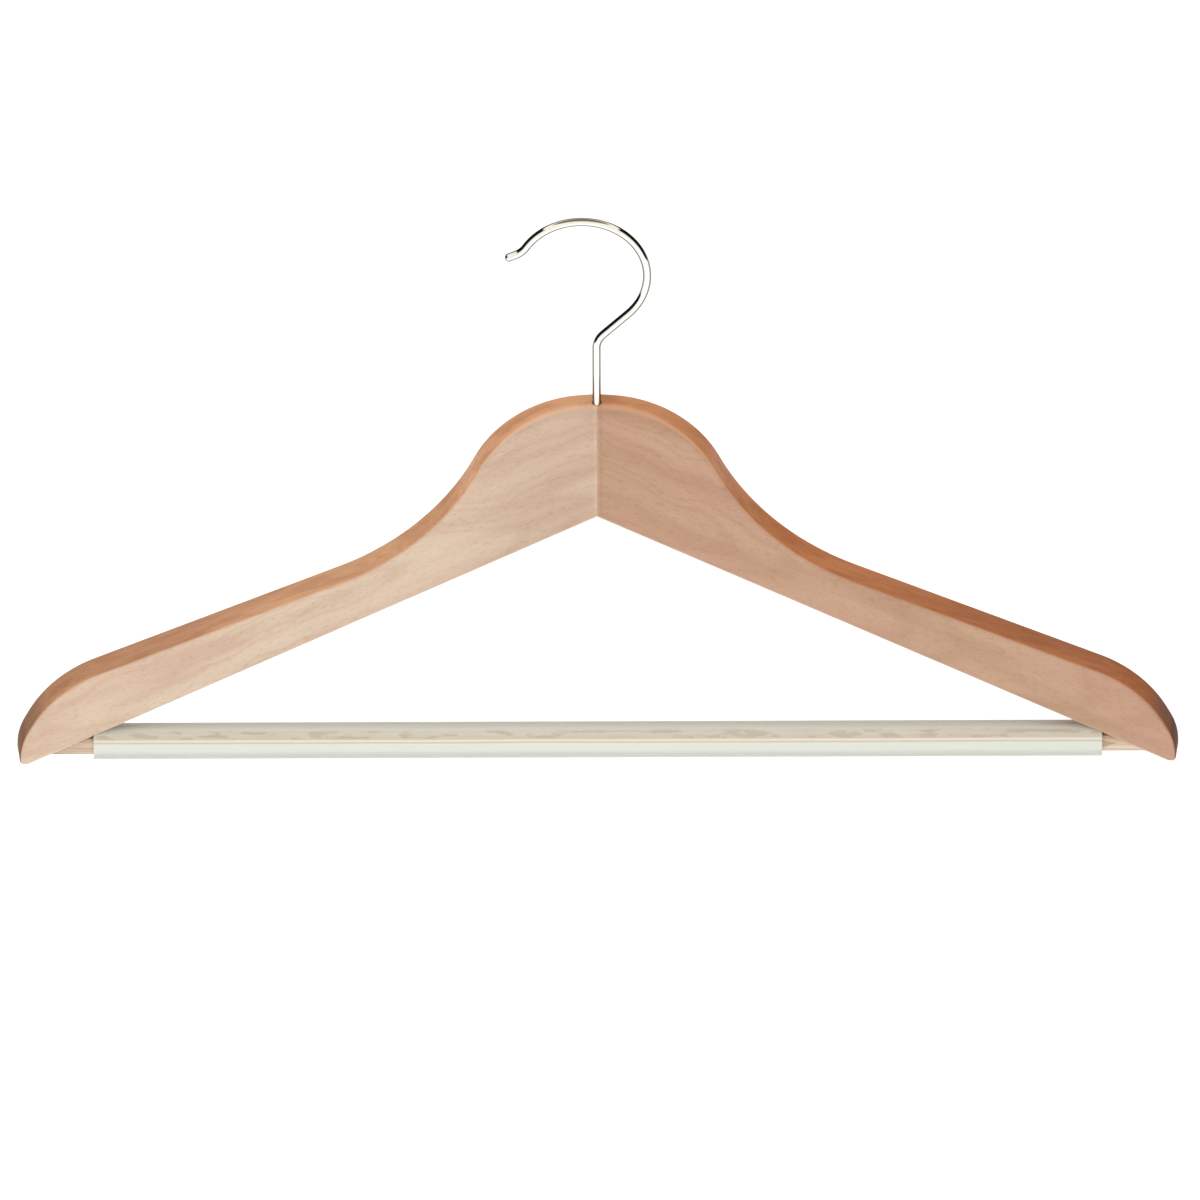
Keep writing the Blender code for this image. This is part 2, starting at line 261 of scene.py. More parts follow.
def rounded_outline(corners):
    """Points of an open outline whose corners, given as (x, z, radius), are rounded."""
    points = [Vector(corners[0][:2])]
    for before, corner, after in zip(corners, corners[1:], corners[2:]):
        here = Vector(corner[:2])
        to_before = (Vector(before[:2]) - here).normalized()
        to_after = (Vector(after[:2]) - here).normalized()
        half_angle = to_before.angle(to_after) / 2
        centre = here + (to_before + to_after).normalized() * corner[2] / math.sin(half_angle)
        start = here + to_before * corner[2] / math.tan(half_angle) - centre
        turn = math.pi - 2 * half_angle
        if to_before.cross(to_after) < 0:
            turn = -turn
        steps = max(4, round(abs(turn) / FINE_STEP))
        for count in range(steps + 1):
            spin = Matrix.Rotation(-turn * count / steps, 2)
            points.append(centre + spin @ start)
    points.append(Vector(corners[-1][:2]))
    return points


def smooth_share(value, low, high):
    """0 below low, 1 above high, and a smooth rise between."""
    share = min(1.0, max(0.0, (value - low) / (high - low)))
    return share * share * (3 - 2 * share)


# ---------------------------------------------------------------- arms


def arm_outline():
    """Front view of an arm as (reach, height) points; it runs past the seam, where the mitre cuts it."""
    overrun = 2 * THICKNESS
    seam_height = TIP_BOTTOM + SEAM_UNDERSIDE_RISE * RISE
    slope = SEAM_UNDERSIDE_RISE * RISE / (HEEL_REACH * REACH)
    return rounded_outline([
        (-overrun, seam_height + overrun * slope, 0),
        (HEEL_REACH * REACH, TIP_BOTTOM, HEEL_ROUND * RISE),
        (REACH, TIP_BOTTOM, TOE_ROUND * RISE),
        (REACH, TIP_BOTTOM + NOSE_RISE * RISE, NOSE_ROUND * RISE),
        (BROW_REACH * REACH, TIP_BOTTOM + BROW_RISE * RISE, BROW_ROUND * RISE),
        (NECK_REACH * REACH, TIP_BOTTOM + NECK_RISE * RISE, NECK_ROUND * RISE),
        (SHOULDER_REACH * REACH, CROWN, SHOULDER_ROUND * RISE),
        (-overrun, CROWN, 0),
    ])


def inward_normals(points):
    """The unit normal that points into the board at each point of the outline."""
    normals = []
    for index in range(len(points)):
        before = points[max(index - 1, 0)]
        after = points[min(index + 1, len(points) - 1)]
        along = (after - before).normalized()
        normals.append(Vector((-along.y, along.x)))
    return normals


def front_edge_radius(point):
    """How far the front edge is eased at an outline point: most on the crown, least at the toe."""
    if point.y > TIP_BOTTOM + CROWN_EDGE_RISE * RISE:
        share = 1 - smooth_share(point.x, CROWN_EDGE_START, CROWN_EDGE_END)
        return FRONT_EDGE_ROUND + (CROWN_EDGE_ROUND - FRONT_EDGE_ROUND) * share
    share = smooth_share(point.y, TIP_BOTTOM + TOE_EDGE_RISE * RISE, TIP_BOTTOM + ARM_EDGE_RISE * RISE)
    return TOE_EDGE_ROUND + (FRONT_EDGE_ROUND - TOE_EDGE_ROUND) * share


def eased_edge(radius):
    """(inset, depth) pairs from the middle of the board's edge round to one of its faces."""
    pairs = []
    for count in range(EDGE_STEPS + 1):
        angle = math.pi / 2 * count / EDGE_STEPS
        inset = radius * (1 - math.cos(angle))
        pairs.append((inset, THICKNESS / 2 - radius * (1 - math.sin(angle))))
    pairs.append((radius + EDGE_MARGIN, THICKNESS / 2))
    return pairs


def edge_profile(front_radius):
    """(inset, depth) pairs round the board's edge, from the back face to the front face."""
    back = list(reversed(eased_edge(BACK_EDGE_ROUND)))
    front = [(inset, -depth) for inset, depth in eased_edge(front_radius)]
    return back + front


def slice_off(bm, point, normal):
    """Cut a bmesh by a plane, drop what lies on the normal's side and close the cut."""
    everything = list(bm.verts) + list(bm.edges) + list(bm.faces)
    bmesh.ops.bisect_plane(bm, geom=everything, plane_co=point, plane_no=normal, clear_outer=True)
    bmesh.ops.holes_fill(bm, edges=[e for e in bm.edges if e.is_boundary])


def arm_placing(side):
    """Where an arm's own frame sits: on the seam, swept to the front."""
    return Matrix.Translation((0, SHANK_Y, 0)) @ Matrix.Rotation(-side * SWEEP, 4, "Z")


def build_arm(name, side, material):
    """One arm as a board with eased edges, mitred at the seam; side is 1 right, -1 left."""
    points = arm_outline()
    normals = inward_normals(points)
    profiles = [edge_profile(front_edge_radius(point)) for point in points]
    bm = bmesh.new()
    rings = []
    for layer in range(len(profiles[0])):
        ring = []
        for point, normal, profile in zip(points, normals, profiles):
            inset, depth = profile[layer]
            place = point + normal * inset
            ring.append(bm.verts.new((side * place.x, depth, place.y)))
        rings.append(ring)
    close_rings(bm, rings)
    bmesh.ops.recalc_face_normals(bm, faces=bm.faces)

    mitre = Vector((-side * math.cos(SWEEP), -math.sin(SWEEP), 0))
    slice_off(bm, -mitre * SEAM_GAP, mitre)
    bm.transform(arm_placing(side))
    return new_piece(name, bm, material)


def hole(name, profile, sides, placing):
    """A cutter turned from a profile."""
    return new_piece(name, turned_mesh(profile, sides, placing), None)


def dowel_hole(node):
    """A cutter that fits one of the mitre's dowels, which lie across the seam."""
    half = box_size(node).x / 2 + FIT
    radius = box_size(node).z / 2 + FIT
    profile = [(-half, radius), (half, radius)]
    return hole(node + "_hole", profile, HOLE_SIDES, lying_along_x(box_centre(node)))


def brad_hole(node, outward, steps):
    """A cutter that fits a brad; steps are its (height, radius) points from the tip up to height 0."""
    brad = frame["nodes"][node]
    points = [brad.matrix_world @ vertex.co for vertex in brad.data.vertices]
    furthest = max(point.dot(outward) for point in points)
    end = [point for point in points if point.dot(outward) > furthest - FIT]
    centre = sum(end, Vector()) / len(end)
    profile = [(height, radius + FIT) for height, radius in steps]
    profile.append((CUTTER_OVERRUN, steps[-1][1] + FIT))
    placing = Matrix.Translation(centre) @ outward.to_track_quat("Z", "Y").to_matrix().to_4x4()
    return hole(node + "_hole", profile, BRAD_SIDES, placing)


def bar_brad_hole(node, side):
    """A cutter for a brad that holds one end of the bar, driven square into the back of its arm."""
    head = box_size(node).z / 2
    neck = -BRAD_HEAD_HEIGHT - FIT
    steps = [(-BRAD_LENGTH - FIT, BRAD_SHANK_RADIUS), (neck, BRAD_SHANK_RADIUS), (neck, head)]
    return brad_hole(node, Vector((side * math.sin(SWEEP), math.cos(SWEEP), 0)), steps)


def lock_brad_hole():
    """A cutter for the headless brad whose tip runs in the shank's groove."""
    size = box_size("hook_lock_pin")
    return brad_hole("hook_lock_pin", Vector((0, 1, 0)), [(-size.y - FIT, size.z / 2)])


def bore_hole():
    """A cutter for the bore that the shank turns in, opened a little at the crown."""
    radius = WIRE_RADIUS + BORE_FIT
    profile = [(HOOK_LOW.z - FIT, radius), (CROWN - BORE_CHAMFER_HALF, radius),
               (CROWN + BORE_CHAMFER_HALF, radius + BORE_CHAMFER)]
    return hole("bore", profile, HOLE_SIDES, Matrix.Translation((0, SHANK_Y, 0)))


def socket_hole():
    """A cutter for the bar's two sockets and the wider pockets that take the sleeve's ends."""
    socket = BAR_RADIUS + FIT
    pocket = SLEEVE_RADIUS + POCKET_FIT
    pocket_end = SLEEVE_HALF + POCKET_PLAY
    profile = [(-BAR_HALF - FIT, socket), (-pocket_end, socket), (-pocket_end, pocket),
               (pocket_end, pocket), (pocket_end, socket), (BAR_HALF + FIT, socket)]
    return hole("socket", profile, SLEEVE_SIDES, lying_along_x(BAR))


def cut_joints(left_arm, right_arm, bar):
    """Cut the arms and the bar where the hook, bar, sleeve, dowels and brads sit in them."""
    bore = bore_hole()
    socket = socket_hole()
    dowels = [dowel_hole("joint_dowel_upper"), dowel_hole("joint_dowel_lower")]
    left_brad = bar_brad_hole("bar_pin_left", -1)
    right_brad = bar_brad_hole("bar_pin_right", 1)
    lock_brad = lock_brad_hole()
    carve(left_arm, [bore, socket, left_brad] + dowels)
    carve(right_arm, [bore, socket, right_brad, lock_brad] + dowels)
    carve(bar, [left_brad, right_brad])
    for cutter in [bore, socket, left_brad, right_brad, lock_brad] + dowels:
        bpy.data.objects.remove(cutter, do_unlink=True)


# ---------------------------------------------------------------- bar, sleeve and hook


def build_bar(material):
    """The trouser bar with softly broken ends."""
    profile = [(-BAR_HALF, BAR_RADIUS - BAR_EASE), (-BAR_HALF + BAR_EASE, BAR_RADIUS),
               (BAR_HALF - BAR_EASE, BAR_RADIUS), (BAR_HALF, BAR_RADIUS - BAR_EASE)]
    return new_piece("beech_bar", turned_mesh(profile, BAR_SIDES, lying_along_x(BAR)), material)


def sleeve_rim():
    """(distance from the sleeve's middle, radius) points of a rim, from the bore round to the outside."""
    inner = []
    outer = []
    for count in range(RIM_STEPS + 1):
        angle = math.pi / 2 * count / RIM_STEPS
        reach = SLEEVE_HALF - RIM_ROUND * (1 - math.sin(angle))
        ease = RIM_ROUND * (1 - math.cos(angle))
        inner.append((reach, SLEEVE_BORE + ease))
        outer.append((reach, SLEEVE_RADIUS - ease))
    return inner + list(reversed(outer))


def build_sleeve(material):
    """The clear sleeve: a tube with rounded rims."""
    rim = sleeve_rim()
    section = [(-reach, radius) for reach, radius in rim] + list(reversed(rim))
    bm = bmesh.new()
    loops = []
    for x, radius in section:
        loop = []
        for side in range(SLEEVE_SIDES):
            angle = 2 * math.pi * side / SLEEVE_SIDES
            place = Vector((x, radius * math.cos(angle), radius * math.sin(angle)))
            loop.append(bm.verts.new(BAR + place))
        loops.append(loop)
    join_rings(bm, loops + loops[:1])
    return new_piece("vinyl_sleeve", bm, material)


def arc_points(centre, radius, start, end):
    """Points along an arc in the hook's plane, both ends included."""
    steps = max(4, round(abs(end - start) / FINE_STEP))
    angles = [start + (end - start) * step / steps for step in range(steps + 1)]
    return [centre + radius * Vector((math.cos(a), math.sin(a))) for a in angles]


def hook_line():
    """Centre line of the wire in (x, z), from the top of the shank to the lip's end."""
    centre = Vector((HOOK_HIGH.x - WIRE_RADIUS - CROOK_RADIUS, HOOK_HIGH.z - WIRE_RADIUS - CROOK_RADIUS))
    crook = arc_points(centre, CROOK_RADIUS, CROOK_START, CROOK_END)

    # From the crook a straight slant runs down to the elbow at the top of the shank
    slant = Vector((math.sin(CROOK_START), -math.cos(CROOK_START)))
    corner = crook[0] + slant * (crook[0].x / -slant.x)
    turn = math.atan2(-slant.x, -slant.y)
    elbow_base = corner.y - ELBOW_RADIUS * math.tan(turn / 2)
    elbow = arc_points(Vector((ELBOW_RADIUS, elbow_base)), ELBOW_RADIUS, math.pi, math.pi - turn)

    # The lip curls the other way
    outward = Vector((math.cos(CROOK_END), math.sin(CROOK_END)))
    lip = arc_points(centre + (CROOK_RADIUS + LIP_RADIUS) * outward, LIP_RADIUS, CROOK_END + math.pi,
                     CROOK_END + math.pi - LIP_TURN)
    along = (lip[-1] - lip[-2]).normalized()
    return elbow + crook + lip[1:] + [lip[-1] + along * LIP_STRAIGHT]


def build_hook(material):
    """The wire hook with its grooved shank and domed lip."""
    groove = box_centre("hook_lock_pin").z
    bevel = WIRE_RADIUS * SHANK_BEVEL
    groove_floor = WIRE_RADIUS - GROOVE_DEPTH
    shank = [(HOOK_LOW.z, WIRE_RADIUS - bevel), (HOOK_LOW.z + bevel, WIRE_RADIUS),
             (groove - GROOVE_HALF - GROOVE_SLOPE, WIRE_RADIUS), (groove - GROOVE_HALF, groove_floor),
             (groove + GROOVE_HALF, groove_floor), (groove + GROOVE_HALF + GROOVE_SLOPE, WIRE_RADIUS)]
    line = [Vector((0, height)) for height, _ in shank] + hook_line()
    radii = [radius for _, radius in shank]
    radii += [WIRE_RADIUS] * (len(line) - len(radii))
    along = (line[-1] - line[-2]).normalized()
    dome = line[-1]
    for step in range(1, DOME_STEPS):
        angle = math.pi / 2 * step / DOME_STEPS
        line.append(dome + along * WIRE_RADIUS * math.sin(angle))
        radii.append(WIRE_RADIUS * math.cos(angle))
    bm = bmesh.new()
    rings = []
    for index, (point, radius) in enumerate(zip(line, radii)):
        before = line[max(index - 1, 0)]
        after = line[min(index + 1, len(line) - 1)]
        heading = (after - before).normalized()
        across = Vector((-heading.y, heading.x))
        ring = []
        for side in range(WIRE_SIDES):
            angle = 2 * math.pi * side / WIRE_SIDES
            place = point + across * radius * math.cos(angle)
            ring.append(bm.verts.new((place.x, SHANK_Y + radius * math.sin(angle), place.y)))
        rings.append(ring)
    close_rings(bm, rings)
    return new_piece("wire_hook", bm, material)


# ---------------------------------------------------------------- materials


class Nodes:
    """A short hand for adding linked shader nodes to one material or world."""

    def __init__(self, owner):
        owner.use_nodes = True
        self.tree = owner.node_tree
        self.tree.nodes.clear()

    def add(self, kind, settings=None, **inputs):
        """Add a node; its inputs, by name or as i0, i1 by number, are values or other nodes' sockets."""
        node = self.tree.nodes.new(kind)
        for key, value in (settings or {}).items():
            setattr(node, key, value)
        for key, value in inputs.items():
            name = key.replace("_", " ")
            socket = node.inputs[int(key[1:])] if key[1:].isdigit() else node.inputs[name]
            if isinstance(value, bpy.types.NodeSocket):
                self.tree.links.new(value, socket)
            else:
                socket.default_value = value
        return node

    def math(self, operation, a, b=0.0):
        """The result of a maths node."""
        return self.add("ShaderNodeMath", {"operation": operation}, i0=a, i1=b).outputs[0]

    def times(self, first, *others):
        """The product of values."""
        for value in others:
            first = self.math("MULTIPLY", first, value)
        return first

    def dot(self, a, b):
        """The dot product of two directions."""
        return self.add("ShaderNodeVectorMath", {"operation": "DOT_PRODUCT"}, i0=a, i1=b).outputs["Value"]

    def mix(self, factor, a, b, blend="MIX"):
        """The result of mixing two colours."""
        node = self.add("ShaderNodeMix", {"data_type": "RGBA", "blend_type": blend}, i0=factor)
        for slot, value in ((6, a), (7, b)):
            if isinstance(value, bpy.types.NodeSocket):
                self.tree.links.new(value, node.inputs[slot])
            else:
                node.inputs[slot].default_value = value
        return node.outputs[2]

    def tint(self, colour, by):
        """A colour multiplied by another."""
        return self.mix(1.0, colour, by, "MULTIPLY")

    def ramp(self, factor, stops, smooth=True):
        """A colour ramp from (position, colour) stops."""
        node = self.add("ShaderNodeValToRGB", i0=factor)
        node.color_ramp.interpolation = "EASE" if smooth else "LINEAR"
        elements = node.color_ramp.elements
        while len(elements) < len(stops):
            elements.new(0.5)
        for element, (position, colour) in zip(elements, stops):
            element.position = position
            element.color = colour
        return node.outputs[0]

    def fade(self, factor, *stops):
        """A smooth ramp of shares from (position, share) stops, level outside them."""
        return self.ramp(factor, [(position, grey(share)) for position, share in stops])

    def noise(self, vector, scale, detail):
        """Noise at one scale."""
        return self.add("ShaderNodeTexNoise", Vector=vector, Scale=scale, Detail=detail).outputs["Fac"]

    def streaks(self, vector, along, across, detail):
        """Noise drawn out along X."""
        stretched = self.add("ShaderNodeMapping", Vector=vector, Scale=(along, across, across)).outputs[0]
        return self.noise(stretched, 1.0, detail)

    def object_coords(self):
        """The place of each point in its piece's own frame."""
        return self.add("ShaderNodeTexCoord").outputs["Object"]

    def bump(self, strength, distance, height):
        """A normal bent by a height."""
        node = self.add("ShaderNodeBump", Strength=strength, Distance=distance, Height=height)
        return node.outputs[0]

    def surface(self, **inputs):
        """Finish a material with one Principled shader."""
        shader = self.add("ShaderNodeBsdfPrincipled", **inputs)
        self.add("ShaderNodeOutputMaterial", Surface=shader.outputs[0])


def srgb(red, green, blue):
    """A display colour, 0 to 255, as the linear colour that shaders use."""
    linear = []
    for value in (red, green, blue):
        share = value / 255
        linear.append(share / 12.92 if share <= 0.04045 else ((share + 0.055) / 1.055) ** 2.4)
    return (*linear, 1.0)


def grey(value):
    """A neutral linear colour."""
    return (value, value, value, 1.0)


def start_material(name):
    """A new material, and the short hand that adds its nodes."""
    material = bpy.data.materials.new(name)
    return material, Nodes(material)


def beech_face(n, palette, grain, bands, fibres, flecks):
    """The colour of a board's flat faces: drifts of tone, growth rings, fibres and flecks."""
    drift = n.streaks(grain, 7, 26, 2.0)
    face = n.mix(n.fade(drift, (0.32, 0), (0.68, 1)), palette["face"], palette["blush"])

    wander = n.add("ShaderNodeTexNoise", Vector=grain, Scale=22.0, Detail=2.0).outputs["Color"]
    warped = n.add("ShaderNodeVectorMath", {"operation": "MULTIPLY_ADD"}, i0=wander,
                   i1=(0.0, 0.02, 0.030), i2=grain).outputs[0]
    heart = n.add("ShaderNodeMapping", Vector=warped, Location=(0.012, 0.04, -0.115),
                  Scale=(0.14, 0.6, 1)).outputs[0]
    rings = n.add("ShaderNodeTexWave", {"wave_type": "RINGS", "rings_direction": "Y"}, Vector=heart,
                  Scale=30.0, Distortion=3.0, Detail=2.0, Detail_Scale=0.6).outputs["Fac"]
    lines = n.fade(rings, (0.0, 0), (0.45, 0.15), (0.80, 1), (1.0, 0.2))
    face = n.mix(n.times(lines, 0.42), face, palette["figure"])
    face = n.mix(n.times(n.fade(bands, (0.40, 0), (0.68, 1)), 0.62), face, palette["figure"])

    face = n.mix(n.times(fibres, 0.16), face, n.tint(face, srgb(196, 170, 148)))
    return n.mix(n.times(flecks, 0.16), face, n.tint(face, srgb(190, 150, 125)))


def beech_edge(n, palette, grain, bands, fibres, from_middle, crown):
    """The deeper colour of a board's edge: streaked, blotched, and duller towards the tip."""
    blotches = n.streaks(grain, 70, 230, 3.0)
    tone = n.math("ADD", n.times(n.math("ADD", bands, blotches), 0.36), n.times(fibres, 0.28))
    edge = n.mix(n.fade(tone, (0.36, 0), (0.66, 1)), palette["edge"], palette["edge_streak"])
    edge = n.mix(n.times(crown, 0.70), edge, palette["crown"])
    edge = n.tint(edge, n.ramp(blotches, [(0.34, srgb(232, 222, 214)), (0.58, grey(1))]))
    return n.tint(edge, n.ramp(from_middle, [(0.10, grey(1)), (0.17, srgb(228, 221, 217))]))


def beech(name, side, palette, seed):
    """Satin beech whose grain runs down one arm, with deeper edges, painted highlights and shade on its
    rounded edges, and a painted highlight and shade across the seam.
    """
    material, n = start_material(name)
    coords = n.add("ShaderNodeTexCoord")
    x = n.add("ShaderNodeSeparateXYZ", i0=coords.outputs["Object"]).outputs["X"]
    from_middle = n.math("ABSOLUTE", x)
    crown = n.fade(from_middle, (0.020, 1), (0.085, 0))
    grain = n.add("ShaderNodeMapping", Vector=coords.outputs["Object"],
                  Location=(0, seed, 0), Rotation=(0, -side * GRAIN_SLOPE, 0)).outputs[0]
    bands = n.streaks(grain, 11, 95, 3.0)
    fibres = n.streaks(grain, 60, 1700, 3.0)
    flecks = n.fade(n.streaks(grain, 380, 1500, 1.0), (0.34, 1), (0.44, 0))

    normal = coords.outputs["Normal"]
    board_normal = (side * math.sin(SWEEP), math.cos(SWEEP), 0)
    down_grain = (side * math.cos(GRAIN_SLOPE), 0, -math.sin(GRAIN_SLOPE))
    facing = n.math("ABSOLUTE", n.dot(normal, board_normal))
    downward = n.times(n.add("ShaderNodeSeparateXYZ", i0=normal).outputs["Z"], -1.0)
    at_tip = n.fade(from_middle, (0.185, 0), (0.212, 1))
    end_on = n.fade(n.math("ABSOLUTE", n.dot(normal, down_grain)), (0.36, 0), (0.76, 1))
    end_grain_and_shade = n.times(end_on, at_tip)

    face = beech_face(n, palette, grain, bands, fibres, flecks)
    face = n.tint(face, n.ramp(from_middle, [(0.02, palette["neck"]), (0.07, grey(1))]))
    edge = beech_edge(n, palette, grain, bands, fibres, from_middle, crown)
    # The tips' end grain gets a dark colour that also holds painted shade, as the ends face away from the
    # light
    edge = n.mix(n.times(end_grain_and_shade, 0.90), edge, palette["end_grain_and_shade"])
    # Painted shade: where the rounding turns from the face into the edge, it is darkened towards the
    # streak colour
    edge_turn_shade = n.fade(facing, (0.20, 0), (0.45, 1), (0.75, 0))
    edge = n.mix(n.times(edge_turn_shade, palette["edge_turn_shade"]), edge, palette["edge_streak"])

    turned = n.math("ADD", facing, n.times(crown, 0.23))
    # Painted light: on the underside the edge colour gives way to the face's paler colour, as if lit from
    # the floor below
    under = n.fade(downward, (0.0, 0), (0.5, palette["under_floor_light"]))
    to_edge = n.times(n.fade(turned, (0.36, 1), (0.90, 0)), n.math("SUBTRACT", 1.0, under))
    colour = n.mix(to_edge, face, edge)
    # Painted highlight where the crown's wide rounding turns from the face to the edge
    between = n.times(to_edge, n.math("SUBTRACT", 1.0, to_edge), 4.0)
    colour = n.mix(n.times(between, crown, 0.5), colour, palette["crown_highlight"])

    # A ramp holds too few steps for the seam's millimetres, so it spans one centimetre
    # Across the seam: a pale glue line brightened by a painted highlight, and on the right arm a strip of
    # painted shade just beyond it
    from_seam = n.times(x, side, 100.0)
    colour = n.tint(colour, n.ramp(from_seam, palette["seam"], smooth=False))
    # Painted highlight along the lower rounded edges, as if lit from the floor below
    arris_highlight = n.times(n.fade(downward, (0.08, 0), (0.35, 1), (0.78, 1), (0.92, 0.2)),
                    n.fade(facing, (0.25, 0), (0.45, 1)))
    colour = n.mix(n.times(arris_highlight, 0.3), colour, palette["arris_highlight"])

    height = n.math("SUBTRACT", n.times(fibres, 0.5), n.times(flecks, 0.5))
    roughness = n.math("ADD", 0.40, n.times(fibres, 0.14))
    lacquer = n.math("SUBTRACT", 1.0, n.times(end_grain_and_shade, 0.9))
    n.surface(Base_Color=colour, Roughness=roughness, Normal=n.bump(0.08, 0.2 * MM, height),
              Specular_IOR_Level=n.times(lacquer, 0.22), Coat_Weight=n.times(lacquer, 0.10),
              Coat_Roughness=0.28)
    return material


def dowel_wood(name, light, dark):
    """Bare sanded beech with its grain along the bar, with shade painted into the nooks."""
    material, n = start_material(name)
    coords = n.object_coords()
    broad = n.streaks(coords, 16, 260, 4.0)
    fibres = n.streaks(coords, 45, 1500, 3.0)
    marks = n.fade(n.streaks(coords, 75, 280, 3.0), (0.38, 1), (0.46, 0))
    grain = n.fade(n.math("ADD", n.times(broad, 0.7), n.times(fibres, 0.3)), (0.35, 0), (0.68, 1))
    colour = n.mix(grain, light, dark)
    colour = n.mix(n.times(marks, 0.6), colour, n.mix(0.45, dark, srgb(92, 70, 52)))
    # Painted shade: the wood darkens where the arms and the sleeve close in on it
    nook = n.add("ShaderNodeAmbientOcclusion", {"samples": 8}, Distance=12 * MM).outputs["AO"]
    shade = n.ramp(nook, [(0.0, srgb(96, 66, 48)), (0.30, srgb(170, 140, 118)), (0.62, grey(1))])
    n.surface(Base_Color=n.tint(colour, shade), Roughness=0.55, Normal=n.bump(0.15, 0.2 * MM, fibres))
    return material


def plated_wire():
    """Bright plating with faint drawing lines, whose grazing edges mirror a darker room and are darkened
    in the colour too, a painted reflection.
    """
    material, n = start_material("plated_wire")
    coords = n.object_coords()
    fine = n.noise(coords, 900.0, 3.0)
    soft = n.noise(coords, 120.0, 2.0)
    bright = n.mix(soft, srgb(240, 240, 234), srgb(250, 250, 248))
    grazing = n.add("ShaderNodeLayerWeight", Blend=0.5).outputs["Facing"]
    # Painted reflection: the colour darkens towards the grazing edges
    rim = n.ramp(grazing, [(0.26, grey(1)), (0.42, srgb(148, 146, 134)), (0.70, srgb(84, 82, 72))])
    n.surface(Base_Color=n.tint(bright, rim), Metallic=1.0, Normal=n.bump(0.03, 0.1 * MM, fine),
              Roughness=n.math("ADD", 0.03, n.times(soft, 0.06)))
    return material


def brad_steel():
    """Plain drawn steel of the brads, a little dull."""
    material, n = start_material("brad_steel")
    grind = n.noise(n.object_coords(), 2400.0, 3.0)
    colour = n.mix(grind, srgb(150, 148, 144), srgb(196, 194, 190))
    n.surface(Base_Color=colour, Metallic=1.0, Roughness=0.36, Normal=n.bump(0.2, 0.1 * MM, grind))
    return material


def height_on_tube(n):
    """How high a point sits on a level tube as the eye sees it, -1 at the bottom and 1 at the top."""
    geometry = n.add("ShaderNodeNewGeometry")
    eye = n.add("ShaderNodeSeparateXYZ", i0=geometry.outputs["Incoming"])
    side_seen = n.math("SIGN", n.times(eye.outputs["Y"], -1.0))
    across_eye = n.add("ShaderNodeCombineXYZ", Y=n.times(eye.outputs["Z"], side_seen),
                       Z=n.math("ABSOLUTE", eye.outputs["Y"])).outputs[0]
    above = n.add("ShaderNodeVectorMath", {"operation": "NORMALIZE"}, i0=across_eye).outputs[0]
    return n.dot(geometry.outputs["Normal"], above)


def clear_vinyl():
    """Clear, faintly green soft vinyl whose bands are painted reflections: bright below, greyer above,
    the wood showing through between.
    """
    material, n = start_material("clear_vinyl")
    coords = n.object_coords()
    waves = n.streaks(coords, 14, 60, 2.0)
    bump = n.bump(0.02, 0.5 * MM, waves)
    # The tone and the veil follow the height on the tube as seen: painted reflections of the bright floor
    # below and the greyer room above, with a painted highlight line and a dark line near the middle
    height = n.math("ADD", height_on_tube(n), n.times(n.math("SUBTRACT", waves, 0.5), 0.10))
    band = n.math("ADD", n.times(height, 0.5), 0.5)
    tone = n.ramp(band, [(0.03, srgb(188, 190, 180)), (0.10, srgb(196, 197, 188)),
                         (0.19, srgb(222, 223, 212)), (0.39, srgb(228, 229, 218)),
                         (0.43, srgb(200, 192, 174)), (0.47, srgb(242, 233, 216)),
                         (0.55, srgb(230, 218, 196)), (0.66, srgb(240, 230, 214)),
                         (0.76, srgb(232, 230, 218)), (0.84, srgb(212, 211, 200)),
                         (0.95, srgb(196, 191, 179))], smooth=False)
    spots = n.fade(n.streaks(coords, 105, 420, 3.0), (0.40, 1), (0.50, 0))
    middle = n.fade(band, (0.50, 0), (0.55, 1), (0.70, 1), (0.80, 0))
    tone = n.mix(n.times(spots, middle, 0.36), tone, srgb(174, 156, 126))
    veil = n.ramp(band, [(0.0, grey(0.85)), (0.17, grey(0.75)), (0.47, grey(0.75)), (0.52, grey(0.52)),
                         (0.72, grey(0.55)), (0.82, grey(0.78)), (1.0, grey(0.85))], smooth=False)
    clear = n.add("ShaderNodeBsdfPrincipled", Base_Color=srgb(250, 250, 246), Roughness=0.04, IOR=1.4,
                  Normal=bump, Transmission_Weight=1.0)
    skin = n.add("ShaderNodeBsdfPrincipled", Base_Color=tone, Roughness=0.22, IOR=1.45, Normal=bump)
    body = n.add("ShaderNodeMixShader", i0=veil, i1=clear.outputs[0], i2=skin.outputs[0])

    # Light on its way to the wood passes straight through
    unseen = n.add("ShaderNodeBsdfTransparent", Color=srgb(240, 242, 238))
    path = n.add("ShaderNodeLightPath")
    indirect = n.math("MAXIMUM", path.outputs["Is Shadow Ray"], path.outputs["Is Diffuse Ray"])
    whole = n.add("ShaderNodeMixShader", i0=indirect, i1=body.outputs[0], i2=unseen.outputs[0])
    n.add("ShaderNodeOutputMaterial", Surface=whole.outputs[0])
    return material


def dress(nodes, material):
    """Give CAD pieces that are shown as they are their material."""
    for node in nodes:
        materials = frame["nodes"][node].data.materials
        materials.clear()
        materials.append(material)


# ---------------------------------------------------------------- stage


def build_floor():
    """A plain pale floor well below the hanger, which hangs in the air as it does in use."""
    material, n = start_material("pale_floor")
    mottle = n.noise(n.object_coords(), 3.0, 2.0)
    n.surface(Base_Color=n.mix(mottle, grey(0.86), grey(0.89)), Roughness=0.9,
              Emission_Color=grey(1.0), Emission_Strength=0.45)
    level = cad_low.z - FLOOR_DROP
    bm = bmesh.new()
    corners = [bm.verts.new((x * FLOOR_HALF, y * FLOOR_HALF, level))
               for x, y in ((-1, -1), (1, -1), (1, 1), (-1, 1))]
    bm.faces.new(corners)
    new_piece("studio_floor", bm, material)


